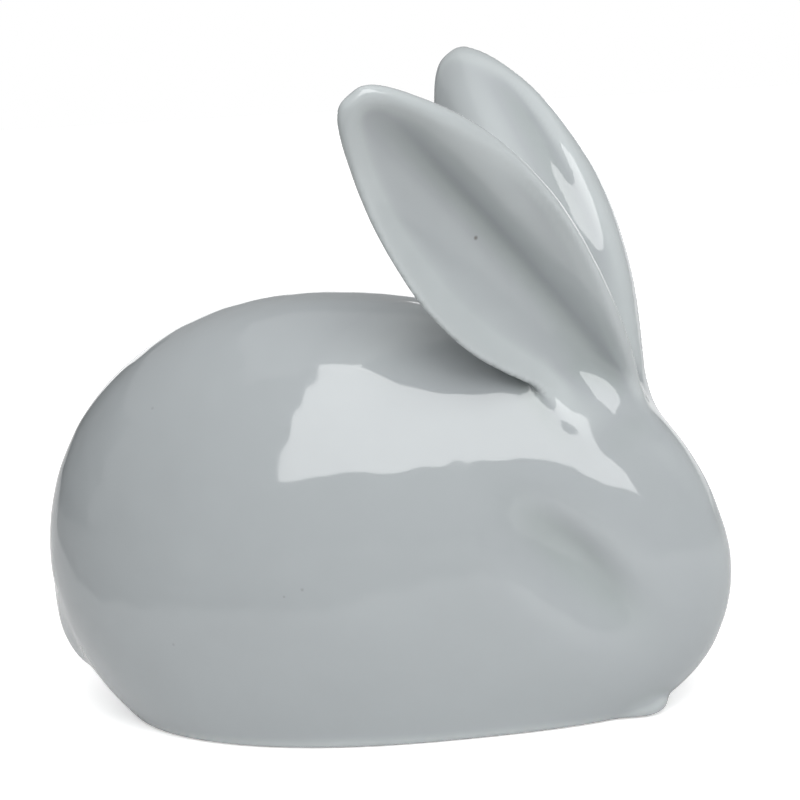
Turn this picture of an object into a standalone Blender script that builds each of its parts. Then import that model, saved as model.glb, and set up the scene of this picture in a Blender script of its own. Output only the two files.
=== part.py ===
"""Hare sculpture: a crouching glazed hare, cast in one piece, with its ears up and leaning back.

The nose points along +X, +Z is up, and the left side mirrors the right side across y = 0.
The form is a set of plain round bodies that run softly into each other, as clay does, so it is
described as one field: below zero inside the clay, zero on its skin. Sizes are in millimetres.
"""

import math

import bmesh
import bpy
import numpy as np
from mathutils import Matrix, Vector

MM = 0.001

# Trunk and head: (middle along, middle up), half sizes (long, across, thick), nose-down tilt
RUMP_AT = (-20.5, 43.5)
RUMP_HALF = (65.5, 40.5, 60.0)
RUMP_TILT = math.radians(-10.5)
CHEST_AT = (10.5, 22.0)
CHEST_HALF = (35.5, 17.5, 68.0)
CHEST_TILT = math.radians(7.0)
HEAD_AT = (45.5, 35.5)
HEAD_HALF = (37.0, 19.0, 36.0)
HEAD_TILT = math.radians(73.0)
CROWN_AT = (63.0, 65.0)
CROWN_HALF = (18.0, 7.0, 6.5)
CROWN_TILT = math.radians(52.5)
TAIL_AT = (-76.0, 27.0)
TAIL_HALF = (10.0, 11.5, 15.5)

# Forepaws, one each side
PAW_AT = (56.5, 4.0)
PAW_OUT = 5.0
PAW_HALF = (9.0, 5.0, 5.0)

# How far each body runs into the next
TRUNK_RUN = 38.0
HEAD_RUN = 34.0
CROWN_RUN = 8.5
TAIL_RUN = 6.0
PAW_RUN = 3.0
EAR_RUN_BACK = 3.0
EAR_RUN_FRONT = 5.0
EAR_RUN_SPLIT = 53.0
EAR_RUN_SHIFT = 4.0

# Wider run where the hollow of each ear flows down into the cheek
ROOT_RUN = 12.0
ROOT_RUN_AT = (55.0, 9.0, 76.0)
ROOT_RUN_SIZE = 10.0

# Thumb-pressed hollow behind each cheek
HOLLOW_AT = (49.5, 22.5, 40.0)
HOLLOW_HALF = (18.0, 16.0, 8.5)
HOLLOW_DEPTH = 4.5
HOLLOW_TILT = math.radians(51.0)

# Ears: a long leaf of clay with a round rim, cupped outwards
EAR_ROOT = (58.5, -3.0, 78.5)
EAR_LENGTH = 105.0
EAR_HALF_WIDTH = 18.75
EAR_RIM = 3.25
EAR_LEAN_BACK = math.radians(32.0)
EAR_LEAN_OUT = math.radians(29.0)
EAR_FACING = math.radians(1.5)
EAR_TURN = math.radians(7.0)
EAR_BOW = 10.75
EAR_CUP = 10.25
EAR_CUP_GAIN = -5.75
EAR_CUP_REAR = 8.0
EAR_CUP_REAR_GAIN = -1.75
EAR_CUP_END = 1.6
EAR_SWELL = 3.5
EAR_SWELL_GAIN = 2.0
EAR_SWAY = -0.25
EAR_SWAY_GAIN = -1.0
EAR_WIDTH_CURVE = (1.0, 0.13, -0.38, -0.07)
EAR_WIDTH_LEAST = 0.2
EAR_SHARE_END = 1.3
EAR_EDGE_SOFT = 2.0
EAR_EDGE_LIFT = 0.1

# Flat underside with a rounded edge
FOOT_ROUND = 2.5
FOOT_CUT = 0.03

# Mesh
BALL_SEGMENTS = 48
BALL_RINGS = 24
BRIDGE_AT = (54.0, 68.0)
BRIDGE_HALF = (11.0, 9.0, 11.0)
RIM_FULLNESS = 0.4
VOXEL = 1.0
SETTLE_ROUNDS = 14
SETTLE_CALM = 4
SETTLE_STEP = 1.5
RELAX_SHARE = 0.5
KEEP_SHARE = 0.0525
ON_SEAM = 1e-4
SLOPE_STEP = 0.05
TINY = 1e-9

# Glaze: pale celadon grey
GLAZE_COLOUR = (0.42, 0.46, 0.47, 1.0)
GLAZE_ROUGHNESS = 0.12


def run_together(first, second, reach):
    """Join two fields so that their skins run into each other over the given reach."""
    overlap = np.maximum(reach - np.abs(first - second), 0.0) / reach
    return np.minimum(first, second) - overlap ** 3 * reach / 6.0


def round_body(x, y, z, centre, half, tilt=0.0):
    """Field of an ellipsoid whose long axis is tilted down towards +X."""
    along = x - centre[0]
    across = y - centre[1]
    upward = z - centre[2]
    long = along * math.cos(tilt) - upward * math.sin(tilt)
    thick = along * math.sin(tilt) + upward * math.cos(tilt)
    near = np.sqrt((long / half[0]) ** 2 + (across / half[1]) ** 2 + (thick / half[2]) ** 2)
    fall = np.sqrt((long / half[0] ** 2) ** 2 + (across / half[1] ** 2) ** 2 + (thick / half[2] ** 2) ** 2)
    return near * (near - 1.0) / (fall + TINY)


def trunk_body(x, y, z, at, half, tilt=0.0, out=0.0):
    """A round body on the middle plane, or set out from it to one side."""
    return round_body(x, y, z, (at[0], out, at[1]), half, tilt)


def ear_axes():
    """Directions of the ear's width, hollow and length for the ear at -Y."""
    back = Matrix.Rotation(-EAR_LEAN_BACK, 3, "Y")
    out = Matrix.Rotation(EAR_LEAN_OUT, 3, "X")
    facing = Matrix.Rotation(EAR_FACING, 3, "Z")
    turned = np.array(back @ out @ facing)
    return turned[:, 0], -turned[:, 1], turned[:, 2]


def ear_shape(share, width):
    """Placed width, half width, cup and its steepness at a share of the length (-1 root, +1 tip)."""
    sway = (EAR_SWAY + EAR_SWAY_GAIN * share) * (1.0 - share ** 2)
    curve = sum(part * share ** power for power, part in enumerate(EAR_WIDTH_CURVE))
    half = (EAR_HALF_WIDTH - EAR_RIM) * np.maximum(curve, EAR_WIDTH_LEAST)
    placed = width + sway
    rear = 0.5 * (1.0 - np.tanh(2.0 * placed / EAR_HALF_WIDTH))
    depth = EAR_CUP + EAR_CUP_GAIN * share + (EAR_CUP_REAR + EAR_CUP_REAR_GAIN * share) * rear
    out = np.minimum(np.abs(placed) / EAR_HALF_WIDTH, EAR_CUP_END)
    inner = np.minimum(out, 1.0)
    swell = (EAR_SWELL + EAR_SWELL_GAIN * share) * (1.0 - np.minimum(share ** 2, 1.0)) * (1.0 - rear)
    slant = 2.0 * depth * out + swell * math.pi * np.sin(2.0 * math.pi * inner)
    steep = np.sqrt(1.0 + (slant / EAR_HALF_WIDTH) ** 2)
    rise = depth * out ** 2 + swell * np.sin(math.pi * inner) ** 2 - EAR_CUP / 2.0
    return placed, half, rise, steep


def ear(x, y, z, side):
    """Field of one ear; side is -1 for the ear at -Y and +1 for the ear at +Y."""
    wide, hollow, long = ear_axes()
    offset = (x - EAR_ROOT[0], -side * y + EAR_ROOT[1], z - EAR_ROOT[2])
    width = sum(part * step for part, step in zip(wide, offset))
    depth = sum(part * step for part, step in zip(hollow, offset))
    length = sum(part * step for part, step in zip(long, offset))
    middle = EAR_LENGTH / 2.0
    share = np.clip(length / middle - 1.0, -EAR_SHARE_END, EAR_SHARE_END)
    turn = EAR_TURN * share
    width, depth = (
        width * np.cos(turn) - depth * np.sin(turn),
        width * np.sin(turn) + depth * np.cos(turn),
    )
    along = length - middle
    placed, half, rise, steep = ear_shape(share, width)
    reach = middle - EAR_RIM
    near = np.sqrt((along / reach) ** 2 + (placed / half) ** 2)
    fall = np.sqrt((along / reach ** 2) ** 2 + (placed / half ** 2) ** 2)
    edge = near * (near - 1.0) / (fall + TINY)
    outside = 0.5 * (edge + np.sqrt(edge ** 2 + EAR_EDGE_SOFT ** 2)) - EAR_EDGE_LIFT
    lift = (depth - rise - EAR_BOW * (along / middle) ** 2) / steep
    return np.sqrt(outside ** 2 + lift ** 2) - EAR_RIM


def ear_run(x, y, z, side):
    """How far an ear runs into the head at each point."""
    forward = 0.5 * (1.0 + np.tanh((x - EAR_RUN_SPLIT) / EAR_RUN_SHIFT))
    off = (x - ROOT_RUN_AT[0]) ** 2 + (side * y - ROOT_RUN_AT[1]) ** 2 + (z - ROOT_RUN_AT[2]) ** 2
    root = ROOT_RUN * np.exp(-off / ROOT_RUN_SIZE ** 2)
    return EAR_RUN_BACK + (EAR_RUN_FRONT - EAR_RUN_BACK) * forward + root


def cheek_hollow(x, y, z):
    """How deep the thumb pressed the clay at each point."""
    along = x - HOLLOW_AT[0]
    across = np.abs(y) - HOLLOW_AT[1]
    upward = z - HOLLOW_AT[2]
    long = along * math.cos(HOLLOW_TILT) - upward * math.sin(HOLLOW_TILT)
    thick = along * math.sin(HOLLOW_TILT) + upward * math.cos(HOLLOW_TILT)
    spread = (long / HOLLOW_HALF[0]) ** 2 + (across / HOLLOW_HALF[1]) ** 2 + (thick / HOLLOW_HALF[2]) ** 2
    return HOLLOW_DEPTH * np.exp(-spread)


def hare_field(x, y, z):
    """Field of the whole hare, standing on z = 0."""
    rump = trunk_body(x, y, z, RUMP_AT, RUMP_HALF, RUMP_TILT)
    chest = trunk_body(x, y, z, CHEST_AT, CHEST_HALF, CHEST_TILT)
    head = trunk_body(x, y, z, HEAD_AT, HEAD_HALF, HEAD_TILT)
    body = run_together(rump, chest, TRUNK_RUN)
    body = run_together(body, head, HEAD_RUN)
    body = run_together(body, trunk_body(x, y, z, CROWN_AT, CROWN_HALF, CROWN_TILT), CROWN_RUN)
    body = body + cheek_hollow(x, y, z)
    body = run_together(body, trunk_body(x, y, z, TAIL_AT, TAIL_HALF), TAIL_RUN)
    for side in (-1, 1):
        paw = trunk_body(x, y, z, PAW_AT, PAW_HALF, out=side * PAW_OUT)
        body = run_together(body, paw, PAW_RUN)
    for side in (-1, 1):
        body = run_together(body, ear(x, y, z, side), ear_run(x, y, z, side))
    return -run_together(-body, z, FOOT_ROUND)


def field_slope(points):
    """Direction in which the field grows fastest at each point."""
    slope = np.empty_like(points)
    for axis in range(3):
        shift = np.zeros(3)
        shift[axis] = SLOPE_STEP
        ahead = hare_field(*(points + shift).T)
        behind = hare_field(*(points - shift).T)
        slope[:, axis] = (ahead - behind) / (2.0 * SLOPE_STEP)
    return slope


def clear_scene():
    """Empty the file."""
    for item in list(bpy.data.objects):
        bpy.data.objects.remove(item, do_unlink=True)


def make_collection(name):
    """A collection linked to the scene."""
    group = bpy.data.collections.new(name)
    bpy.context.scene.collection.children.link(group)
    return group


def make_glaze():
    """The pale grey glaze."""
    glaze = bpy.data.materials.new("celadon_glaze")
    glaze.use_nodes = True
    shader = glaze.node_tree.nodes["Principled BSDF"]
    shader.inputs["Base Color"].default_value = GLAZE_COLOUR
    shader.inputs["Roughness"].default_value = GLAZE_ROUGHNESS
    shader.inputs["Metallic"].default_value = 0.0
    glaze.diffuse_color = GLAZE_COLOUR
    return glaze


def add_ball(mesh, at, half, tilt=0.0, out=0.0):
    """Add a sphere drawn out to the given half sizes."""
    place = Matrix.Translation(Vector((at[0], out, at[1])))
    turn = Matrix.Rotation(tilt, 4, "Y")
    size = Matrix.Diagonal((*half, 1.0))
    bmesh.ops.create_uvsphere(
        mesh, u_segments=BALL_SEGMENTS, v_segments=BALL_RINGS, radius=1.0, matrix=place @ turn @ size
    )


def add_ear(mesh, side):
    """Add a flattened sphere bent to the ear's cup and bow."""
    made = bmesh.ops.create_uvsphere(mesh, u_segments=BALL_SEGMENTS, v_segments=BALL_RINGS, radius=1.0)
    wide, hollow, long = ear_axes()
    middle = EAR_LENGTH / 2.0
    for point in made["verts"]:
        share = point.co.z
        plain = point.co.x
        width = plain * EAR_HALF_WIDTH
        placed, half = ear_shape(share, np.float64(width))[:2]
        width = plain * (half + EAR_RIM) - (placed - width)
        rise, steep = ear_shape(share, np.float64(width))[2:]
        thick = math.copysign(abs(point.co.y) ** RIM_FULLNESS, point.co.y)
        depth = thick * EAR_RIM * steep + rise + EAR_BOW * share ** 2
        turn = EAR_TURN * share
        flat = width * math.cos(turn) + depth * math.sin(turn)
        lift = -width * math.sin(turn) + depth * math.cos(turn)
        spot = flat * wide + lift * hollow + (1.0 + share) * middle * long
        point.co = (
            EAR_ROOT[0] + spot[0],
            -side * (spot[1] - EAR_ROOT[1]),
            EAR_ROOT[2] + spot[2],
        )
    if side > 0:
        faces = {face for point in made["verts"] for face in point.link_faces}
        bmesh.ops.reverse_faces(mesh, faces=list(faces))


def rough_blank():
    """Rough out the hare from spheres and weld them into one even skin."""
    mesh = bmesh.new()
    add_ball(mesh, RUMP_AT, RUMP_HALF, RUMP_TILT)
    add_ball(mesh, CHEST_AT, CHEST_HALF, CHEST_TILT)
    add_ball(mesh, HEAD_AT, HEAD_HALF, HEAD_TILT)
    add_ball(mesh, CROWN_AT, CROWN_HALF, CROWN_TILT)
    add_ball(mesh, BRIDGE_AT, BRIDGE_HALF)
    add_ball(mesh, TAIL_AT, TAIL_HALF)
    for side in (-1, 1):
        add_ball(mesh, PAW_AT, PAW_HALF, out=side * PAW_OUT)
        add_ear(mesh, side)
    for point in mesh.verts:
        point.co.z = max(point.co.z, 0.0)
    bmesh.ops.recalc_face_normals(mesh, faces=mesh.faces)
    data = bpy.data.meshes.new("blank")
    mesh.to_mesh(data)
    mesh.free()
    return data


def apply_modifiers(thing, name):
    """Mesh of an object with its modifiers worked in."""
    graph = bpy.context.evaluated_depsgraph_get()
    graph.update()
    data = bpy.data.meshes.new_from_object(thing.evaluated_get(graph))
    data.name = name
    return data


def even_skin(data, group):
    """One closed skin of even quads over a mesh."""
    thing = bpy.data.objects.new("blank", data)
    group.objects.link(thing)
    weld = thing.modifiers.new("weld", "REMESH")
    weld.mode = "VOXEL"
    weld.voxel_size = VOXEL
    skin = apply_modifiers(thing, "blank")
    bpy.data.objects.remove(thing, do_unlink=True)
    return skin


def half_blank(group):
    """Even triangles over the right half of the hare, close to its form and open along y = 0."""
    data = even_skin(rough_blank(), group)
    settle(data, False)
    data = even_skin(data, group)
    mesh = bmesh.new()
    mesh.from_mesh(data)
    everything = list(mesh.verts) + list(mesh.edges) + list(mesh.faces)
    bmesh.ops.bisect_plane(mesh, geom=everything, plane_co=(0, 0, 0), plane_no=(0, 1, 0), clear_outer=True)
    bmesh.ops.triangulate(mesh, faces=mesh.faces)
    mesh.to_mesh(data)
    mesh.free()
    return data


def settle(data, halved):
    """Move every point on to the skin of the form and even out the spacing; keep a half to its side."""
    count = len(data.vertices)
    points = np.empty(count * 3)
    data.vertices.foreach_get("co", points)
    points = points.reshape(-1, 3)
    pairs = np.empty(len(data.edges) * 2, dtype=np.int64)
    data.edges.foreach_get("vertices", pairs)
    pairs = pairs.reshape(-1, 2)
    both = np.vstack((pairs, pairs[:, ::-1]))
    members = np.bincount(both[:, 0], minlength=count)[:, None]
    seam = (np.abs(points[:, 1]) < ON_SEAM) & halved
    for step in range(SETTLE_ROUNDS):
        slope = field_slope(points)
        steep = (slope ** 2).sum(axis=1, keepdims=True) + TINY
        value = hare_field(*points.T)[:, None]
        move = -slope * value / steep
        far = np.linalg.norm(move, axis=1, keepdims=True)
        move *= np.minimum(1.0, SETTLE_STEP / (far + TINY))
        points = points + move
        if step < SETTLE_ROUNDS - SETTLE_CALM:
            sums = [np.bincount(both[:, 0], points[both[:, 1], axis], count) for axis in range(3)]
            mean = np.stack(sums, axis=1)
            drift = mean / members - points
            normal = slope / np.sqrt(steep)
            drift -= (drift * normal).sum(axis=1, keepdims=True) * normal
            drift[seam] = 0.0
            points = points + RELAX_SHARE * drift
        points[seam, 1] = 0.0
        if halved:
            points[:, 1] = np.minimum(points[:, 1], 0.0)
    data.vertices.foreach_set("co", points.ravel())
    data.update()


def thin_out(data, group):
    """Fewer, larger facets where the form is nearly flat; the seam stays on y = 0."""
    thing = bpy.data.objects.new("half", data)
    group.objects.link(thing)
    thin = thing.modifiers.new("thin", "DECIMATE")
    thin.ratio = KEEP_SHARE
    thin.use_collapse_triangulate = True
    fewer = apply_modifiers(thing, "hare")
    bpy.data.objects.remove(thing, do_unlink=True)
    return fewer


def close_whole(data):
    """Mirror the half, cut the underside flat, close it and set it on the middle of its base."""
    mesh = bmesh.new()
    mesh.from_mesh(data)
    for edge in mesh.edges:
        if edge.is_boundary:
            for point in edge.verts:
                point.co.y = 0.0
    everything = list(mesh.verts) + list(mesh.edges) + list(mesh.faces)
    bmesh.ops.mirror(mesh, geom=everything, axis="Y", merge_dist=0.0001)
    everything = list(mesh.verts) + list(mesh.edges) + list(mesh.faces)
    sliced = bmesh.ops.bisect_plane(
        mesh, geom=everything, plane_co=(0, 0, FOOT_CUT), plane_no=(0, 0, 1), clear_inner=True
    )
    rim = [item for item in sliced["geom_cut"] if isinstance(item, bmesh.types.BMEdge)]
    bmesh.ops.contextual_create(mesh, geom=rim)
    bmesh.ops.recalc_face_normals(mesh, faces=mesh.faces)
    ends = [point.co.x for point in mesh.verts]
    middle = (max(ends) + min(ends)) / 2.0
    for point in mesh.verts:
        point.co = Vector((point.co.x - middle, point.co.y, point.co.z - FOOT_CUT)) * MM
    mesh.to_mesh(data)
    mesh.free()
    return data


def build_hare():
    """The hare as one closed casting."""
    group = make_collection("hare_sculpture")
    data = half_blank(group)
    settle(data, True)
    data = close_whole(thin_out(data, group))
    hare = bpy.data.objects.new("hare", data)
    group.objects.link(hare)
    data.materials.clear()
    data.materials.append(make_glaze())
    data.shade_smooth()
    return hare


clear_scene()
build_hare()
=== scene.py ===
"""Hare sculpture: the glazed, slip-cast casting as it looks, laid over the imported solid.

The nose points along +X and +Z is up. The form is worked out in millimetres, as clay bodies that run
softly into each other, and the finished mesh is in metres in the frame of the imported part.
"""

import logging
import math
from dataclasses import dataclass, field
from enum import Enum

import bmesh
import bpy
import numpy as np
from mathutils import Matrix, Vector

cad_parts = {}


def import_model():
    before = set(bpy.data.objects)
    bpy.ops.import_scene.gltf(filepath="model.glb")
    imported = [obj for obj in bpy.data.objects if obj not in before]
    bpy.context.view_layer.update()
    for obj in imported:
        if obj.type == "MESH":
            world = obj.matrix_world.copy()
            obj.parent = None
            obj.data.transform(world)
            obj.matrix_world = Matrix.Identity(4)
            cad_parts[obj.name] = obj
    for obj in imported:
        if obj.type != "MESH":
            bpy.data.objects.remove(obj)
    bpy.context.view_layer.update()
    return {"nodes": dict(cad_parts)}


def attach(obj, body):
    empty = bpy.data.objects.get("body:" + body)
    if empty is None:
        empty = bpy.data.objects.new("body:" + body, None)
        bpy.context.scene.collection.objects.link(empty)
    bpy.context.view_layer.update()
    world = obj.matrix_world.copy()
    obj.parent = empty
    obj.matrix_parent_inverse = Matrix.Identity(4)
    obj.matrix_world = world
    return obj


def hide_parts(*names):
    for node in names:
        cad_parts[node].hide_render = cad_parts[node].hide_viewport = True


MM = 0.001
SAME_SPOT = 1e-6
TINY = 1e-9
PLAIN_DEPTH = 0.5
PHOTO_PIXELS = 800
SENSOR_MM = 36.0

Colour = tuple[float, float, float]
Point = tuple[float, float, float]

log = logging.getLogger("hare")


class Side(Enum):
    """Which side of the hare a paired feature is on."""

    RIGHT = -1
    LEFT = 1


class Slot(Enum):
    """Material slots of the part's record."""

    GLAZE = "celadon_glaze"


# Form


def run_together(first: np.ndarray, second: np.ndarray, reach: np.ndarray | float) -> np.ndarray:
    """Join two fields so that their skins run into each other.

    Args:
        first: Field of one body, below zero inside it.
        second: Field of the other body.
        reach: How far the two run into each other, in millimetres.

    Returns:
        The field of both together.
    """
    overlap = np.maximum(reach - np.abs(first - second), 0.0) / reach
    return np.minimum(first, second) - overlap**3 * reach / 6.0


def tilted(along: np.ndarray, upward: np.ndarray, tilt: float) -> tuple[np.ndarray, np.ndarray]:
    """Turn places into those of a body whose long axis is tilted down towards the nose.

    Args:
        along: Places along the hare, from the body's middle.
        upward: Heights from the body's middle.
        tilt: The tilt in degrees.

    Returns:
        Places along the body's long axis, and places square to it.
    """
    turn = math.radians(tilt)
    long = along * math.cos(turn) - upward * math.sin(turn)
    thick = along * math.sin(turn) + upward * math.cos(turn)
    return long, thick


@dataclass(frozen=True)
class ClayBody:
    """A plain round mass of clay, with its long axis tilted down towards the nose.

    Sizes are in millimetres and the tilt in degrees.
    """

    at: tuple[float, float]
    half: Point
    tilt: float = 0.0
    out: float = 0.0

    def field(self, x: np.ndarray, y: np.ndarray, z: np.ndarray) -> np.ndarray:
        """Distance-like field of the body.

        Args:
            x: Places along the hare.
            y: Places across it.
            z: Heights.

        Returns:
            Values below zero inside the body.
        """
        long, thick = tilted(x - self.at[0], z - self.at[1], self.tilt)
        across = y - self.out
        a, b, c = self.half
        near = np.sqrt((long / a) ** 2 + (across / b) ** 2 + (thick / c) ** 2)
        fall = np.sqrt((long / a**2) ** 2 + (across / b**2) ** 2 + (thick / c**2) ** 2)
        return near * (near - 1.0) / (fall + TINY)


@dataclass(frozen=True)
class ThumbPress:
    """A thumb-pressed hollow on each side, or a soft swelling where its depth is below zero.

    Sizes are in millimetres and the tilt in degrees.
    """

    at: Point = (49.5, 22.5, 40.0)
    half: Point = (18.0, 16.0, 8.5)
    depth: float = 4.5
    tilt: float = 51.0

    def pressed(self, x: np.ndarray, y: np.ndarray, z: np.ndarray) -> np.ndarray:
        """How deep the clay is pressed, below zero where it swells.

        Args:
            x: Places along the hare.
            y: Places across it.
            z: Heights.

        Returns:
            The depth in millimetres.
        """
        long, thick = tilted(x - self.at[0], z - self.at[2], self.tilt)
        across = np.abs(y) - self.at[1]
        a, b, c = self.half
        spread = (long / a) ** 2 + (across / b) ** 2 + (thick / c) ** 2
        return self.depth * np.exp(-spread)


@dataclass(frozen=True)
class EarLeaf:
    """A long leaf of clay with a round rim, cupped outwards and leaning back.

    Sizes are in millimetres and angles in degrees. A gain is what a size gains from the leaf's middle
    to its tip.
    """

    root: Point = (58.5, -3.0, 78.5)
    length: float = 105.0
    half_width: float = 18.75
    rim: float = 3.25
    lean_back: float = 32.0
    lean_out: float = 29.0
    facing: float = 1.5
    turn: float = 7.0
    bow: float = 10.75
    cup: float = 10.25
    cup_gain: float = -5.75
    cup_rear: float = 8.0
    cup_rear_gain: float = -1.75
    cup_end: float = 1.6
    swell: float = 3.5
    swell_gain: float = 2.0
    sway: float = -0.25
    sway_gain: float = -1.0
    width_curve: tuple[float, ...] = (1.0, 0.13, -0.38, -0.07)
    width_least: float = 0.2
    share_end: float = 1.3
    edge_soft: float = 2.0
    edge_lift: float = 0.1
    run_back: float = 3.0
    run_front: float = 5.0
    run_split: float = 53.0
    run_shift: float = 4.0
    root_run: float = 12.0
    root_run_at: Point = (55.0, 9.0, 76.0)
    root_run_size: float = 10.0

    def axes(self) -> tuple[np.ndarray, np.ndarray, np.ndarray]:
        """Directions of the right ear's width, hollow and length.

        Returns:
            Three unit vectors.
        """
        back = Matrix.Rotation(-math.radians(self.lean_back), 3, "Y")
        out = Matrix.Rotation(math.radians(self.lean_out), 3, "X")
        facing = Matrix.Rotation(math.radians(self.facing), 3, "Z")
        turned = np.array(back @ out @ facing)
        return turned[:, 0], -turned[:, 1], turned[:, 2]

    def lie(self, x: np.ndarray, y: np.ndarray, z: np.ndarray, side: Side) -> tuple[np.ndarray, ...]:
        """Places along the ear's own axes.

        Args:
            x: Places along the hare.
            y: Places across it.
            z: Heights.
            side: Which ear.

        Returns:
            Width, depth into the hollow, length from the ear's middle, and that length as a share.
        """
        offset = (x - self.root[0], -side.value * y + self.root[1], z - self.root[2])
        width, depth, length = (
            sum(part * step for part, step in zip(axis, offset)) for axis in self.axes()
        )
        middle = self.length / 2.0
        share = np.clip(length / middle - 1.0, -self.share_end, self.share_end)
        turn = math.radians(self.turn) * share
        return (
            width * np.cos(turn) - depth * np.sin(turn),
            width * np.sin(turn) + depth * np.cos(turn),
            length - middle,
            share,
        )

    def field(self, x: np.ndarray, y: np.ndarray, z: np.ndarray, side: Side) -> np.ndarray:
        """Field of one ear.

        Args:
            x: Places along the hare.
            y: Places across it.
            z: Heights.
            side: Which ear.

        Returns:
            Values below zero inside the ear.
        """
        width, depth, along, share = self.lie(x, y, z, side)
        middle = self.length / 2.0
        curve = sum(part * share**power for power, part in enumerate(self.width_curve))
        half = (self.half_width - self.rim) * np.maximum(curve, self.width_least)
        placed = width + (self.sway + self.sway_gain * share) * (1.0 - share**2)
        rear = 0.5 * (1.0 - np.tanh(2.0 * placed / self.half_width))
        cup = self.cup + self.cup_gain * share + (self.cup_rear + self.cup_rear_gain * share) * rear
        out = np.minimum(np.abs(placed) / self.half_width, self.cup_end)
        inner = np.minimum(out, 1.0)
        fade = (1.0 - np.minimum(share**2, 1.0)) * (1.0 - rear)
        swell = (self.swell + self.swell_gain * share) * fade
        slant = 2.0 * cup * out + swell * math.pi * np.sin(2.0 * math.pi * inner)
        steep = np.sqrt(1.0 + (slant / self.half_width) ** 2)
        reach = middle - self.rim
        near = np.sqrt((along / reach) ** 2 + (placed / half) ** 2)
        fall = np.sqrt((along / reach**2) ** 2 + (placed / half**2) ** 2)
        edge = near * (near - 1.0) / (fall + TINY)
        outside = 0.5 * (edge + np.sqrt(edge**2 + self.edge_soft**2)) - self.edge_lift
        rise = cup * out**2 + swell * np.sin(math.pi * inner) ** 2 - self.cup / 2.0
        rise = rise + self.bow * (along / middle) ** 2
        return np.sqrt(outside**2 + ((depth - rise) / steep) ** 2) - self.rim

    def run(self, x: np.ndarray, y: np.ndarray, z: np.ndarray, side: Side) -> np.ndarray:
        """How far an ear runs into the head.

        Args:
            x: Places along the hare.
            y: Places across it.
            z: Heights.
            side: Which ear.

        Returns:
            The reach in millimetres.
        """
        forward = 0.5 * (1.0 + np.tanh((x - self.run_split) / self.run_shift))
        at = self.root_run_at
        off = (x - at[0]) ** 2 + (side.value * y - at[1]) ** 2 + (z - at[2]) ** 2
        root = self.root_run * np.exp(-off / self.root_run_size**2)
        return self.run_back + (self.run_front - self.run_back) * forward + root


@dataclass(frozen=True)
class HareForm:
    """The whole hare as one field, standing on z = 0, in millimetres."""

    rump: ClayBody = ClayBody((-20.5, 43.5), (65.5, 40.5, 60.0), -10.5)
    chest: ClayBody = ClayBody((10.5, 22.0), (35.5, 17.5, 68.0), 7.0)
    head: ClayBody = ClayBody((45.5, 35.5), (37.0, 19.0, 36.0), 73.0)
    crown: ClayBody = ClayBody((63.0, 65.0), (18.0, 7.0, 6.5), 52.5)
    tail: ClayBody = ClayBody((-76.0, 27.0), (10.0, 11.5, 15.5))
    paw_at: tuple[float, float] = (56.5, 4.0)
    paw_half: Point = (9.0, 5.0, 5.0)
    paw_out: float = 5.0
    hollow: ThumbPress = ThumbPress()
    groove: ThumbPress = ThumbPress((48.0, 22.5, 43.0), (15.0, 16.0, 4.5), 1.3)
    neck: ThumbPress = ThumbPress((37.0, 16.0, 90.0), (32.7, 16.0, 8.8), -1.7, 42.0)
    ear: EarLeaf = EarLeaf()
    trunk_run: float = 38.0
    head_run: float = 34.0
    crown_run: float = 8.5
    tail_run: float = 6.0
    paw_run: float = 3.0
    foot_round: float = 2.5
    foot_cut: float = 0.03
    middle: float = -2.3725

    def field(self, x: np.ndarray, y: np.ndarray, z: np.ndarray) -> np.ndarray:
        """Field of the whole hare.

        Args:
            x: Places along the hare.
            y: Places across it.
            z: Heights.

        Returns:
            Values below zero inside the clay.
        """
        body = run_together(self.rump.field(x, y, z), self.chest.field(x, y, z), self.trunk_run)
        body = run_together(body, self.head.field(x, y, z), self.head_run)
        body = run_together(body, self.crown.field(x, y, z), self.crown_run)
        for press in (self.hollow, self.groove, self.neck):
            body = body + press.pressed(x, y, z)
        body = run_together(body, self.tail.field(x, y, z), self.tail_run)
        for side in Side:
            paw = ClayBody(self.paw_at, self.paw_half, out=side.value * self.paw_out)
            body = run_together(body, paw.field(x, y, z), self.paw_run)
        for side in Side:
            body = run_together(body, self.ear.field(x, y, z, side), self.ear.run(x, y, z, side))
        return -run_together(-body, z, self.foot_round)

    def slope(self, points: np.ndarray, step: float = 0.05) -> np.ndarray:
        """Direction in which the field grows fastest.

        Args:
            points: Places, one a row.
            step: How far to look each way.

        Returns:
            The slope at each place, one a row.
        """
        slope = np.empty_like(points)
        for axis in range(3):
            shift = np.zeros(3)
            shift[axis] = step
            ahead = self.field(*(points + shift).T)
            behind = self.field(*(points - shift).T)
            slope[:, axis] = (ahead - behind) / (2.0 * step)
        return slope

    def swell(self, points: np.ndarray, step: float = 3.0) -> np.ndarray:
        """How convex the form is, above zero on a ridge and below it in a hollow.

        Args:
            points: Places on the skin, one a row.
            step: How far to look each way.

        Returns:
            One value for each place, per millimetre.
        """
        total = -6.0 * self.field(*points.T)
        for axis in range(3):
            shift = np.zeros(3)
            shift[axis] = step
            total = total + self.field(*(points + shift).T) + self.field(*(points - shift).T)
        return total / step**2

    def to_form(self, metres: np.ndarray) -> np.ndarray:
        """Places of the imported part, in metres, as places of the form."""
        return metres / MM + np.array([self.middle, 0.0, self.foot_cut])

    def to_part(self, places: np.ndarray) -> np.ndarray:
        """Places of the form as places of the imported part, in metres."""
        return (places - np.array([self.middle, 0.0, self.foot_cut])) * MM


# Node helpers


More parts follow.
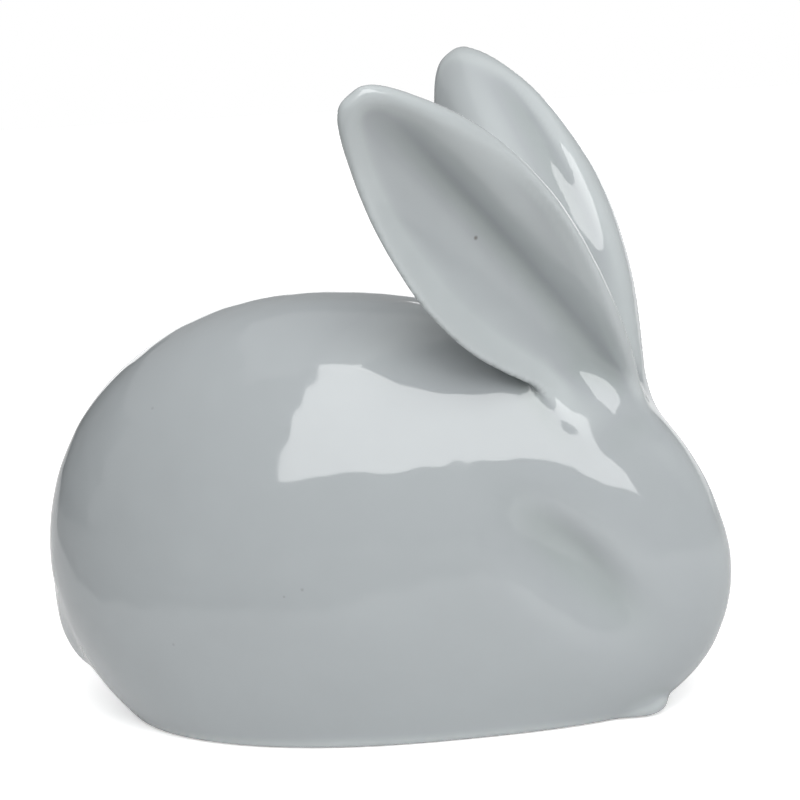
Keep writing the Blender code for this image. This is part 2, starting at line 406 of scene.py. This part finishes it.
class NodeBoard:
    """Adds and joins nodes of one tree."""

    def __init__(self, tree: bpy.types.NodeTree) -> None:
        """Keep the tree, emptied.

        Args:
            tree: The node tree to fill.
        """
        self.tree = tree
        tree.nodes.clear()

    def add(self, kind: str, settings: dict[str, object] | None = None, **values: object) -> bpy.types.Node:
        """Add a node.

        Args:
            kind: The node's type name.
            settings: The node's own settings.
            **values: Values of inputs, named with underscores for spaces.

        Returns:
            The new node.
        """
        node = self.tree.nodes.new(kind)
        for name, value in (settings or {}).items():
            setattr(node, name, value)
        for name, value in values.items():
            node.inputs[name.replace("_", " ")].default_value = value
        return node

    def join(self, start: bpy.types.NodeSocket, end: bpy.types.NodeSocket) -> None:
        """Link two sockets."""
        self.tree.links.new(start, end)

    def sum(
        self, operation: str, first: object, second: object = 0.0, clamp: bool = False
    ) -> bpy.types.NodeSocket:
        """Add a sum of two values.

        Args:
            operation: The Math node's operation.
            first: A socket or a number.
            second: A socket or a number.
            clamp: Whether the result stays between 0 and 1.

        Returns:
            The result's socket.
        """
        node = self.add("ShaderNodeMath", {"operation": operation, "use_clamp": clamp})
        for place, value in enumerate((first, second)):
            if isinstance(value, bpy.types.NodeSocket):
                self.join(value, node.inputs[place])
            else:
                node.inputs[place].default_value = value
        return node.outputs[0]


# Finishes


def mottle_group() -> bpy.types.NodeTree:
    """Soft uneven tone of fired clay and glaze, from 0 to 1.

    Returns:
        A shader group with the inputs Size and Seed and the output Tone.
    """
    tree = bpy.data.node_groups.new("fired_mottle", "ShaderNodeTree")
    size = tree.interface.new_socket("Size", in_out="INPUT", socket_type="NodeSocketFloat")
    size.default_value = 0.02
    seed = tree.interface.new_socket("Seed", in_out="INPUT", socket_type="NodeSocketFloat")
    seed.default_value = 1.0
    tree.interface.new_socket("Tone", in_out="OUTPUT", socket_type="NodeSocketFloat")
    board = NodeBoard(tree)
    given = board.add("NodeGroupInput")
    place = board.add("ShaderNodeTexCoord")
    noise = board.add("ShaderNodeTexNoise", {"noise_dimensions": "4D"}, Detail=3.0, Roughness=0.55)
    board.join(place.outputs["Object"], noise.inputs["Vector"])
    board.join(board.sum("DIVIDE", 1.0, given.outputs["Size"]), noise.inputs["Scale"])
    board.join(given.outputs["Seed"], noise.inputs["W"])
    result = board.add("NodeGroupOutput")
    board.join(noise.outputs["Fac"], result.inputs["Tone"])
    return tree


@dataclass(frozen=True)
class IronSpeck:
    """One iron speck in the glaze, with its place and radius in metres and how dark it shows."""

    at: Point
    radius: float
    strength: float


@dataclass(frozen=True)
class CeladonGlaze:
    """Pale grey celadon: clear and very glossy, running thinly on the rims and pooling in the hollows, with
    painted light on the ears in the pale rim tone.

    Sizes are in metres.
    """

    body: Colour = (0.314, 0.336, 0.347)
    # Pale tone of the glaze on sharp rims, also used as painted light on the ears.
    thin_and_lit: Colour = (0.390, 0.418, 0.425)
    pooled: Colour = (0.29, 0.318, 0.320)
    speck: Colour = (0.10, 0.09, 0.08)
    roughness: float = 0.06
    ior: float = 1.5
    tone_share: float = 0.05
    tone_size: float = 0.035
    tone_seed: float = 3.0
    ripple_size: float = 0.006
    ripple_height: float = 0.000004
    speck_edge: float = 1.35
    specks: tuple[IronSpeck, ...] = (
        IronSpeck((0.03318, -0.02265, 0.1184), 0.0005, 0.85),
        IronSpeck((-0.00922, -0.04033, 0.04225), 0.0004, 0.3),
        IronSpeck((-0.01356, -0.04052, 0.0407), 0.0003, 0.3),
        IronSpeck((-0.04277, -0.03619, 0.02805), 0.0004, 0.25),
        IronSpeck((-0.04602, -0.02512, 0.08225), 0.0004, 0.25),
    )

    def make(self, mottle: bpy.types.NodeTree) -> bpy.types.Material:
        """Build the glaze.

        Args:
            mottle: The shared group of uneven tone.

        Returns:
            The material.
        """
        glaze = bpy.data.materials.new("celadon_glaze")
        glaze.use_nodes = True
        board = NodeBoard(glaze.node_tree)
        out = board.add("ShaderNodeOutputMaterial")
        shader = board.add("ShaderNodeBsdfPrincipled", Roughness=self.roughness, IOR=self.ior)
        board.join(shader.outputs["BSDF"], out.inputs["Surface"])
        board.join(self.colour(board, mottle), shader.inputs["Base Color"])
        board.join(self.ripple(board), shader.inputs["Normal"])
        return glaze

    def colour(self, board: NodeBoard, mottle: bpy.types.NodeTree) -> bpy.types.NodeSocket:
        """Colour of the glaze by its depth, with painted light on the ears, soft uneven tone and iron
        specks.

        Args:
            board: The material's nodes.
            mottle: The shared group of uneven tone.

        Returns:
            The colour's socket.
        """
        # Glaze depth, lowered on the ears as painted light, so that they take the pale rim tone.
        depth = board.add("ShaderNodeAttribute", {"attribute_name": "glaze_depth_and_ear_light"})
        ramp = board.add("ShaderNodeValToRGB")
        ramp.color_ramp.elements[0].color = (*self.thin_and_lit, 1.0)
        ramp.color_ramp.elements[1].color = (*self.pooled, 1.0)
        ramp.color_ramp.elements.new(PLAIN_DEPTH).color = (*self.body, 1.0)
        board.join(depth.outputs["Fac"], ramp.inputs["Fac"])
        tone = board.add(
            "ShaderNodeGroup", {"node_tree": mottle}, Size=self.tone_size, Seed=self.tone_seed
        )
        spread = board.sum("MULTIPLY_ADD", tone.outputs["Tone"], 2.0 * self.tone_share)
        spread.node.inputs[2].default_value = 1.0 - self.tone_share
        toned = board.add("ShaderNodeVectorMath", {"operation": "SCALE"})
        board.join(ramp.outputs["Color"], toned.inputs[0])
        board.join(spread, toned.inputs["Scale"])
        mixed = board.add("ShaderNodeMix", {"data_type": "RGBA"})
        board.join(self.speck_mask(board), mixed.inputs[0])
        board.join(toned.outputs[0], mixed.inputs[6])
        mixed.inputs[7].default_value = (*self.speck, 1.0)
        return mixed.outputs[2]

    def speck_mask(self, board: NodeBoard) -> bpy.types.NodeSocket:
        """Mask of the few iron specks in the glaze.

        Args:
            board: The material's nodes.

        Returns:
            The mask's socket, 1 on a speck.
        """
        place = board.add("ShaderNodeTexCoord")
        mask: object = 0.0
        for speck in self.specks:
            away = board.add("ShaderNodeVectorMath", {"operation": "DISTANCE"})
            board.join(place.outputs["Object"], away.inputs[0])
            away.inputs[1].default_value = speck.at
            near = board.sum("DIVIDE", away.outputs["Value"], speck.radius)
            spot = board.sum("SUBTRACT", self.speck_edge, near, clamp=True)
            mask = board.sum("MAXIMUM", mask, board.sum("MULTIPLY", spot, speck.strength))
        return mask

    def ripple(self, board: NodeBoard) -> bpy.types.NodeSocket:
        """Faint ripple of the fired skin.

        Args:
            board: The material's nodes.

        Returns:
            The normal's socket.
        """
        place = board.add("ShaderNodeTexCoord")
        noise = board.add("ShaderNodeTexNoise", Scale=1.0 / self.ripple_size, Detail=1.0, Roughness=0.4)
        board.join(place.outputs["Object"], noise.inputs["Vector"])
        bump = board.add("ShaderNodeBump", Strength=1.0, Distance=self.ripple_height)
        board.join(noise.outputs["Fac"], bump.inputs["Height"])
        return bump.outputs["Normal"]


@dataclass(frozen=True)
class BareClay:
    """The wiped, unglazed underside: matt off-white biscuit. Sizes are in metres."""

    light: Colour = (0.66, 0.63, 0.57)
    dark: Colour = (0.55, 0.52, 0.46)
    roughness: float = 0.85
    tone_size: float = 0.012
    tone_seed: float = 8.0
    tone_range: tuple[float, float] = (0.3, 0.7)
    grain_size: float = 0.0008
    grain_height: float = 0.00004
    grain_strength: float = 0.5

    def make(self, mottle: bpy.types.NodeTree) -> bpy.types.Material:
        """Build the bare clay.

        Args:
            mottle: The shared group of uneven tone.

        Returns:
            The material.
        """
        clay = bpy.data.materials.new("bare_clay")
        clay.use_nodes = True
        board = NodeBoard(clay.node_tree)
        out = board.add("ShaderNodeOutputMaterial")
        shader = board.add("ShaderNodeBsdfPrincipled", Roughness=self.roughness)
        board.join(shader.outputs["BSDF"], out.inputs["Surface"])
        tone = board.add(
            "ShaderNodeGroup", {"node_tree": mottle}, Size=self.tone_size, Seed=self.tone_seed
        )
        ramp = board.add("ShaderNodeValToRGB")
        stops = zip(ramp.color_ramp.elements, self.tone_range, (self.dark, self.light))
        for stop, position, colour in stops:
            stop.position = position
            stop.color = (*colour, 1.0)
        board.join(tone.outputs["Tone"], ramp.inputs["Fac"])
        board.join(ramp.outputs["Color"], shader.inputs["Base Color"])
        place = board.add("ShaderNodeTexCoord")
        grain = board.add("ShaderNodeTexNoise", Scale=1.0 / self.grain_size, Detail=2.0)
        board.join(place.outputs["Object"], grain.inputs["Vector"])
        bump = board.add("ShaderNodeBump", Strength=self.grain_strength, Distance=self.grain_height)
        board.join(grain.outputs["Fac"], bump.inputs["Height"])
        board.join(bump.outputs["Normal"], shader.inputs["Normal"])
        return clay


# The casting


@dataclass
class SlipWaves:
    """The slow unevenness that slip casting and thick glaze leave, as a Geometry Nodes tree.

    Sizes are in metres. The skin only ever moves inwards, so the casting keeps the solid's outer size.
    """

    height: float = 0.00042
    width: float = 0.022
    foot_height: float = 0.004
    seed: float = 4.0
    noise_range: tuple[float, float] = (0.28, 0.72)
    facing_down: float = -0.97
    sole_height: float = 0.0003
    tree: bpy.types.NodeTree | None = field(default=None, init=False)

    def build(self) -> None:
        """Build the tree with its named inputs."""
        tree = bpy.data.node_groups.new("slip_waves", "GeometryNodeTree")
        face = tree.interface
        face.new_socket("Geometry", in_out="INPUT", socket_type="NodeSocketGeometry")
        for name in ("Wave height", "Wave width", "Foot height", "Seed"):
            face.new_socket(name, in_out="INPUT", socket_type="NodeSocketFloat")
        for name in ("Glaze", "Bare clay"):
            face.new_socket(name, in_out="INPUT", socket_type="NodeSocketMaterial")
        face.new_socket("Geometry", in_out="OUTPUT", socket_type="NodeSocketGeometry")
        board = NodeBoard(tree)
        given = board.add("NodeGroupInput")
        place = board.add("GeometryNodeInputPosition")
        normal = board.add("GeometryNodeInputNormal")
        noise = board.add("ShaderNodeTexNoise", {"noise_dimensions": "4D"}, Detail=2.0, Roughness=0.5)
        board.join(place.outputs[0], noise.inputs["Vector"])
        board.join(board.sum("DIVIDE", 1.0, given.outputs["Wave width"]), noise.inputs["Scale"])
        board.join(given.outputs["Seed"], noise.inputs["W"])
        sink = board.add("ShaderNodeMapRange", {"clamp": True})
        sink.inputs["From Min"].default_value, sink.inputs["From Max"].default_value = self.noise_range
        sink.inputs["To Min"].default_value = -1.0
        sink.inputs["To Max"].default_value = 0.0
        board.join(noise.outputs["Fac"], sink.inputs["Value"])
        parts = board.add("ShaderNodeSeparateXYZ")
        board.join(place.outputs[0], parts.inputs[0])
        above = board.sum("DIVIDE", parts.outputs["Z"], given.outputs["Foot height"], clamp=True)
        waved = board.sum("MULTIPLY", sink.outputs[0], given.outputs["Wave height"])
        amount = board.sum("MULTIPLY", waved, above)
        offset = board.add("ShaderNodeVectorMath", {"operation": "SCALE"})
        board.join(normal.outputs[0], offset.inputs[0])
        board.join(amount, offset.inputs["Scale"])
        moved = board.add("GeometryNodeSetPosition")
        board.join(given.outputs["Geometry"], moved.inputs["Geometry"])
        board.join(offset.outputs[0], moved.inputs["Offset"])
        real = board.add("GeometryNodeRealizeInstances")
        board.join(moved.outputs[0], real.inputs[0])
        glazed = board.add("GeometryNodeSetMaterial")
        board.join(real.outputs[0], glazed.inputs["Geometry"])
        board.join(given.outputs["Glaze"], glazed.inputs["Material"])
        wiped = board.add("GeometryNodeSetMaterial")
        facing = board.add("ShaderNodeSeparateXYZ")
        board.join(normal.outputs[0], facing.inputs[0])
        down = board.sum("LESS_THAN", facing.outputs["Z"], self.facing_down)
        low = board.sum("LESS_THAN", parts.outputs["Z"], self.sole_height)
        board.join(board.sum("MULTIPLY", down, low), wiped.inputs["Selection"])
        board.join(glazed.outputs[0], wiped.inputs["Geometry"])
        board.join(given.outputs["Bare clay"], wiped.inputs["Material"])
        result = board.add("NodeGroupOutput")
        board.join(wiped.outputs[0], result.inputs[0])
        self.tree = tree

    def work_into(
        self, thing: bpy.types.Object, glaze: bpy.types.Material, clay: bpy.types.Material
    ) -> bpy.types.Mesh:
        """Run the tree on an object.

        Args:
            thing: The smooth casting.
            glaze: Finish of all but the underside.
            clay: Finish of the underside.

        Returns:
            A plain mesh with the waves in it.
        """
        values = {
            "Wave height": self.height,
            "Wave width": self.width,
            "Foot height": self.foot_height,
            "Seed": self.seed,
            "Glaze": glaze,
            "Bare clay": clay,
        }
        waves = thing.modifiers.new("slip_waves", "NODES")
        waves.node_group = self.tree
        for item in self.tree.interface.items_tree:
            if item.item_type == "SOCKET" and item.in_out == "INPUT" and item.name in values:
                waves[item.identifier] = values[item.name]
        graph = bpy.context.evaluated_depsgraph_get()
        graph.update()
        data = bpy.data.meshes.new_from_object(thing.evaluated_get(graph))
        thing.modifiers.remove(waves)
        return data


@dataclass
class HareCasting:
    """The one-piece glazed hare.

    The voxel is in metres, and the other sizes are in millimetres.
    """

    form: HareForm = field(default_factory=HareForm)
    waves: SlipWaves = field(default_factory=SlipWaves)
    voxel: float = 0.00096
    settle_rounds: int = 6
    settle_calm: int = 3
    settle_step: float = 1.0
    relax_share: float = 0.4
    depth_gain: float = 3.2
    plain_swell: float = 0.035
    # Painted light on the ears: how much paler they are made, from what height, how far ahead, and what
    # share the left ear gets.
    ear_painted_light: float = 0.32
    ear_from: float = 78.0
    ear_over: float = 22.0
    ear_ahead: float = 14.0
    ear_ahead_over: float = 12.0
    left_ear_light_share: float = 0.25

    def places(self, data: bpy.types.Mesh) -> np.ndarray:
        """Places of a mesh's points in the form.

        Args:
            data: The mesh.

        Returns:
            The places in millimetres, one a row.
        """
        points = np.empty(len(data.vertices) * 3)
        data.vertices.foreach_get("co", points)
        return self.form.to_form(points.reshape(-1, 3))

    def blank(self, node: bpy.types.Object) -> bpy.types.Mesh:
        """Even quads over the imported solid.

        Args:
            node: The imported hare.

        Returns:
            The blank's mesh.
        """
        mesh = bmesh.new()
        mesh.from_mesh(node.data)
        bmesh.ops.remove_doubles(mesh, verts=mesh.verts, dist=SAME_SPOT)
        data = bpy.data.meshes.new("blank")
        mesh.to_mesh(data)
        mesh.free()
        thing = bpy.data.objects.new("blank", data)
        bpy.context.scene.collection.objects.link(thing)
        weld = thing.modifiers.new("weld", "REMESH")
        weld.mode = "VOXEL"
        weld.voxel_size = self.voxel
        graph = bpy.context.evaluated_depsgraph_get()
        graph.update()
        even = bpy.data.meshes.new_from_object(thing.evaluated_get(graph))
        bpy.data.objects.remove(thing, do_unlink=True)
        return even

    def settle(self, data: bpy.types.Mesh) -> None:
        """Move every point on to the skin of the form and even out the spacing.

        Args:
            data: The mesh, changed in place.
        """
        count = len(data.vertices)
        points = self.places(data)
        pairs = np.empty(len(data.edges) * 2, dtype=np.int64)
        data.edges.foreach_get("vertices", pairs)
        pairs = pairs.reshape(-1, 2)
        both = np.vstack((pairs, pairs[:, ::-1]))
        members = np.bincount(both[:, 0], minlength=count)[:, None]
        for step in range(self.settle_rounds):
            slope = self.form.slope(points)
            steep = (slope**2).sum(axis=1, keepdims=True) + TINY
            move = -slope * self.form.field(*points.T)[:, None] / steep
            far = np.linalg.norm(move, axis=1, keepdims=True)
            points = points + move * np.minimum(1.0, self.settle_step / (far + TINY))
            if step < self.settle_rounds - self.settle_calm:
                sums = [np.bincount(both[:, 0], points[both[:, 1], axis], count) for axis in range(3)]
                drift = np.stack(sums, axis=1) / members - points
                normal = slope / np.sqrt(steep)
                drift -= (drift * normal).sum(axis=1, keepdims=True) * normal
                points = points + self.relax_share * drift
        places = self.form.to_part(points)
        places[:, 2] = np.maximum(places[:, 2], 0.0)
        data.vertices.foreach_set("co", places.ravel())
        data.update()

    def mark_depth_and_ear_light(self, data: bpy.types.Mesh) -> None:
        """Note how deep the glaze lies, 0 on sharp rims and 1 in tight hollows; up the ears the value is
        lowered as painted light, towards the pale rim tone, fully on the right ear and a quarter as much on
        the left.

        Args:
            data: The mesh, which gains an attribute of glaze depth with painted light on the ears.
        """
        places = self.places(data)
        # Painted light: the ears are made paler, fully on the right ear and a quarter as much on the left.
        up = np.clip((places[:, 2] - self.ear_from) / self.ear_over, 0.0, 1.0)
        out = places[:, 0] + np.abs(places[:, 1])
        ahead = np.clip((out - self.ear_ahead) / self.ear_ahead_over, 0.0, 1.0)
        ear_light_mask = ahead * np.where(places[:, 1] < 0.0, 1.0, self.left_ear_light_share)
        swell = self.form.swell(places)
        depth = PLAIN_DEPTH - self.depth_gain * (swell - self.plain_swell)
        depth = np.clip(depth - self.ear_painted_light * up * ear_light_mask, 0.0, 1.0)
        mark = data.attributes.new("glaze_depth_and_ear_light", "FLOAT", "POINT")
        mark.data.foreach_set("value", depth.astype(np.float32))

    def build(
        self, node: bpy.types.Object, glaze: bpy.types.Material, clay: bpy.types.Material
    ) -> bpy.types.Object:
        """Build and dress the casting.

        Args:
            node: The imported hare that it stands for.
            glaze: Finish of all but the underside.
            clay: Finish of the underside.

        Returns:
            The finished piece.
        """
        data = self.blank(node)
        self.settle(data)
        smooth = bpy.data.objects.new("smooth", data)
        bpy.context.scene.collection.objects.link(smooth)
        self.waves.build()
        skin = self.waves.work_into(smooth, glaze, clay)
        bpy.data.objects.remove(smooth, do_unlink=True)
        skin.name = "hare_casting"
        self.mark_depth_and_ear_light(skin)
        skin.shade_smooth()
        hare = bpy.data.objects.new("hare_casting", skin)
        bpy.context.scene.collection.objects.link(hare)
        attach(hare, "root")
        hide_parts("hare")
        return hare


# Studio


def aim(azimuth: float, elevation: float) -> Vector:
    """Direction from the hare towards a lamp or the camera.

    Args:
        azimuth: Degrees round from straight at the hare's right side, towards its nose.
        elevation: Degrees above level.

    Returns:
        A unit vector.
    """
    turn = math.radians(azimuth)
    lift = math.radians(elevation)
    return Vector((math.sin(turn) * math.cos(lift), -math.cos(turn) * math.cos(lift), math.sin(lift)))


@dataclass(frozen=True)
class SoftBox:
    """One upright soft lamp panel that stands round the hare and faces it. Sizes are in metres."""

    name: str
    azimuth: float
    away: float
    bottom: float
    size: tuple[float, float]
    glow: float

    def build(self) -> bpy.types.Object:
        """Place the lamp.

        Returns:
            The lamp.
        """
        data = bpy.data.lights.new(self.name, "AREA")
        data.shape = "RECTANGLE"
        data.size, data.size_y = self.size
        data.energy = self.glow * math.pi * self.size[0] * self.size[1]
        lamp = bpy.data.objects.new(self.name, data)
        toward = aim(self.azimuth, 0.0)
        middle = self.bottom + self.size[1] / 2.0
        lamp.location = toward * self.away + Vector((0.0, 0.0, middle))
        lamp.rotation_euler = toward.to_track_quat("Z", "Y").to_euler()
        lamp.visible_camera = False
        bpy.context.scene.collection.objects.link(lamp)
        return lamp


@dataclass(frozen=True)
class TopPanel:
    """One large soft lamp that hangs level over the hare. Sizes are in metres."""

    name: str = "top_panel"
    height: float = 2.2
    size: float = 2.4
    glow: float = 0.45

    def build(self) -> bpy.types.Object:
        """Hang the lamp, facing down.

        Returns:
            The lamp.
        """
        data = bpy.data.lights.new(self.name, "AREA")
        data.size = self.size
        data.energy = self.glow * math.pi * self.size**2
        lamp = bpy.data.objects.new(self.name, data)
        lamp.location = (0.0, 0.0, self.height)
        lamp.visible_camera = False
        bpy.context.scene.collection.objects.link(lamp)
        return lamp


@dataclass(frozen=True)
class DarkCard:
    """An upright matt card behind the tail, which the glaze mirrors as a darker side. In metres."""

    start: tuple[float, float] = (-0.9, -0.1)
    end: tuple[float, float] = (-0.9, 1.3)
    height: float = 0.55
    tone: float = 0.05

    def build(self) -> bpy.types.Object:
        """Stand the card up.

        Returns:
            The card.
        """
        mesh = bmesh.new()
        feet = [mesh.verts.new((*foot, 0.0)) for foot in (self.start, self.end)]
        base = mesh.edges.new(feet)
        raised = bmesh.ops.extrude_edge_only(mesh, edges=[base])["geom"]
        tops = [item for item in raised if isinstance(item, bmesh.types.BMVert)]
        bmesh.ops.translate(mesh, verts=tops, vec=(0.0, 0.0, self.height))
        data = bpy.data.meshes.new("dark_card")
        mesh.to_mesh(data)
        mesh.free()
        paint = bpy.data.materials.new("card_paint")
        paint.use_nodes = True
        shader = paint.node_tree.nodes["Principled BSDF"]
        shader.inputs["Base Color"].default_value = (self.tone,) * 3 + (1.0,)
        shader.inputs["Roughness"].default_value = 1.0
        data.materials.append(paint)
        card = bpy.data.objects.new("dark_card", data)
        card.visible_camera = False
        bpy.context.scene.collection.objects.link(card)
        return card


@dataclass(frozen=True)
class PhotoCamera:
    """The camera at the photograph's viewing angle. Angles are in degrees and places in metres."""

    azimuth: float = 13.644
    elevation: float = 11.761
    away: float = 0.59080
    target: Point = (0.007307, 0.0, 0.077030)
    roll: float = -4.522
    pixels_per_mm: float = 4.2
    clip: tuple[float, float] = (0.05, 50.0)

    def build(self) -> bpy.types.Object:
        """Place the camera and make it the scene's.

        Returns:
            The camera.
        """
        data = bpy.data.cameras.new("photo_camera")
        data.sensor_width = SENSOR_MM
        data.lens = SENSOR_MM * self.pixels_per_mm * self.away / MM / PHOTO_PIXELS
        data.clip_start, data.clip_end = self.clip
        camera = bpy.data.objects.new("photo_camera", data)
        back = aim(self.azimuth, self.elevation)
        right = Vector((math.cos(math.radians(self.azimuth)), math.sin(math.radians(self.azimuth)), 0.0))
        above = back.cross(right)
        roll = math.radians(self.roll)
        rolled = right * math.cos(roll) + above * math.sin(roll)
        upright = above * math.cos(roll) - right * math.sin(roll)
        place = Matrix((rolled, upright, back)).transposed().to_4x4()
        place.translation = Vector(self.target) + back * self.away
        camera.matrix_world = place
        bpy.context.scene.collection.objects.link(camera)
        bpy.context.scene.camera = camera
        return camera


@dataclass(frozen=True)
class Studio:
    """Plain pale floor, pale surroundings and soft lamps. Sizes are in metres.

    The hare stands on a white sheet; past the sheet the glaze mirrors a duller table.
    """

    floor_size: float = 3.2
    floor_tone: float = 0.9
    floor_lift: float = 0.45
    floor_roughness: float = 0.7
    table_tone: float = 0.4
    surround_tone: float = 0.35
    sheet_edges: tuple[tuple[float, float], ...] = ((0.40, 0.138), (0.90, 0.202))
    edge_soft: float = 0.012
    lamps: tuple[SoftBox, ...] = (
        SoftBox("front_softbox", 19.5, 1.0, 0.43, (1.28, 1.97), 5.1),
        SoftBox("back_panel", 180.0, 1.6, 0.0, (3.4, 0.35), 1.3),
    )
    top: TopPanel = TopPanel()
    card: DarkCard = DarkCard()

    def sheet_mask(self, board: NodeBoard) -> bpy.types.NodeSocket:
        """Mask of the white sheet, whose two straight edges run past the hare's right side and tail.

        Args:
            board: The floor paint's nodes.

        Returns:
            The mask's socket, 1 on the sheet.
        """
        place = board.add("ShaderNodeTexCoord")
        parts = board.add("ShaderNodeSeparateXYZ")
        board.join(place.outputs["Object"], parts.inputs[0])
        mask: object = 1.0
        for lean, off in self.sheet_edges:
            tilt = board.sum("MULTIPLY", parts.outputs["X"], lean)
            inside = board.sum("ADD", board.sum("ADD", tilt, parts.outputs["Y"]), off)
            edge = board.sum("ADD", board.sum("DIVIDE", inside, self.edge_soft), 0.5, clamp=True)
            mask = board.sum("MULTIPLY", mask, edge)
        return mask

    def floor(self) -> bpy.types.Object:
        """Lay the pale floor.

        Returns:
            The floor.
        """
        mesh = bmesh.new()
        bmesh.ops.create_grid(mesh, x_segments=1, y_segments=1, size=self.floor_size / 2.0)
        data = bpy.data.meshes.new("floor")
        mesh.to_mesh(data)
        mesh.free()
        paint = bpy.data.materials.new("floor_paint")
        paint.use_nodes = True
        board = NodeBoard(paint.node_tree)
        out = board.add("ShaderNodeOutputMaterial")
        shader = board.add(
            "ShaderNodeBsdfPrincipled", Roughness=self.floor_roughness, Specular_IOR_Level=0.0
        )
        board.join(shader.outputs["BSDF"], out.inputs["Surface"])
        path = board.add("ShaderNodeLightPath")
        shader.inputs["Emission Color"].default_value = (1.0, 1.0, 1.0, 1.0)
        lift = board.sum("MULTIPLY", path.outputs["Is Camera Ray"], self.floor_lift)
        board.join(lift, shader.inputs["Emission Strength"])
        pale = board.sum("MAXIMUM", self.sheet_mask(board), path.outputs["Is Camera Ray"])
        tone = board.add("ShaderNodeMix", {"data_type": "RGBA"})
        board.join(pale, tone.inputs[0])
        tone.inputs[6].default_value = (self.table_tone,) * 3 + (1.0,)
        tone.inputs[7].default_value = (self.floor_tone,) * 3 + (1.0,)
        board.join(tone.outputs[2], shader.inputs["Base Color"])
        data.materials.append(paint)
        floor = bpy.data.objects.new("floor", data)
        bpy.context.scene.collection.objects.link(floor)
        return floor

    def surround(self) -> None:
        """Make the pale grey surroundings, which the camera sees as white."""
        world = bpy.data.worlds.new("studio")
        world.use_nodes = True
        bpy.context.scene.world = world
        board = NodeBoard(world.node_tree)
        out = board.add("ShaderNodeOutputWorld")
        grey = board.add("ShaderNodeBackground")
        grey.inputs["Color"].default_value = (self.surround_tone,) * 3 + (1.0,)
        white = board.add("ShaderNodeBackground")
        white.inputs["Color"].default_value = (1.0, 1.0, 1.0, 1.0)
        path = board.add("ShaderNodeLightPath")
        mix = board.add("ShaderNodeMixShader")
        board.join(path.outputs["Is Camera Ray"], mix.inputs[0])
        board.join(grey.outputs[0], mix.inputs[1])
        board.join(white.outputs[0], mix.inputs[2])
        board.join(mix.outputs[0], out.inputs["Surface"])

    def build(self) -> None:
        """Build the floor, the surroundings and the lamps."""
        self.floor()
        self.surround()
        self.top.build()
        self.card.build()
        for lamp in self.lamps:
            lamp.build()
        bpy.context.scene.view_settings.view_transform = "Standard"


def main() -> None:
    """Build the hare and its studio."""
    logging.basicConfig(level=logging.INFO, format="%(message)s")
    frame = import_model()
    mottle = mottle_group()
    glaze = CeladonGlaze().make(mottle)
    clay = BareClay().make(mottle)
    hare = HareCasting().build(frame["nodes"]["hare"], glaze, clay)
    log.info("%s: %d faces", hare.name, len(hare.data.polygons))
    Studio().build()
    PhotoCamera().build()


if __name__ == "__main__":
    main()
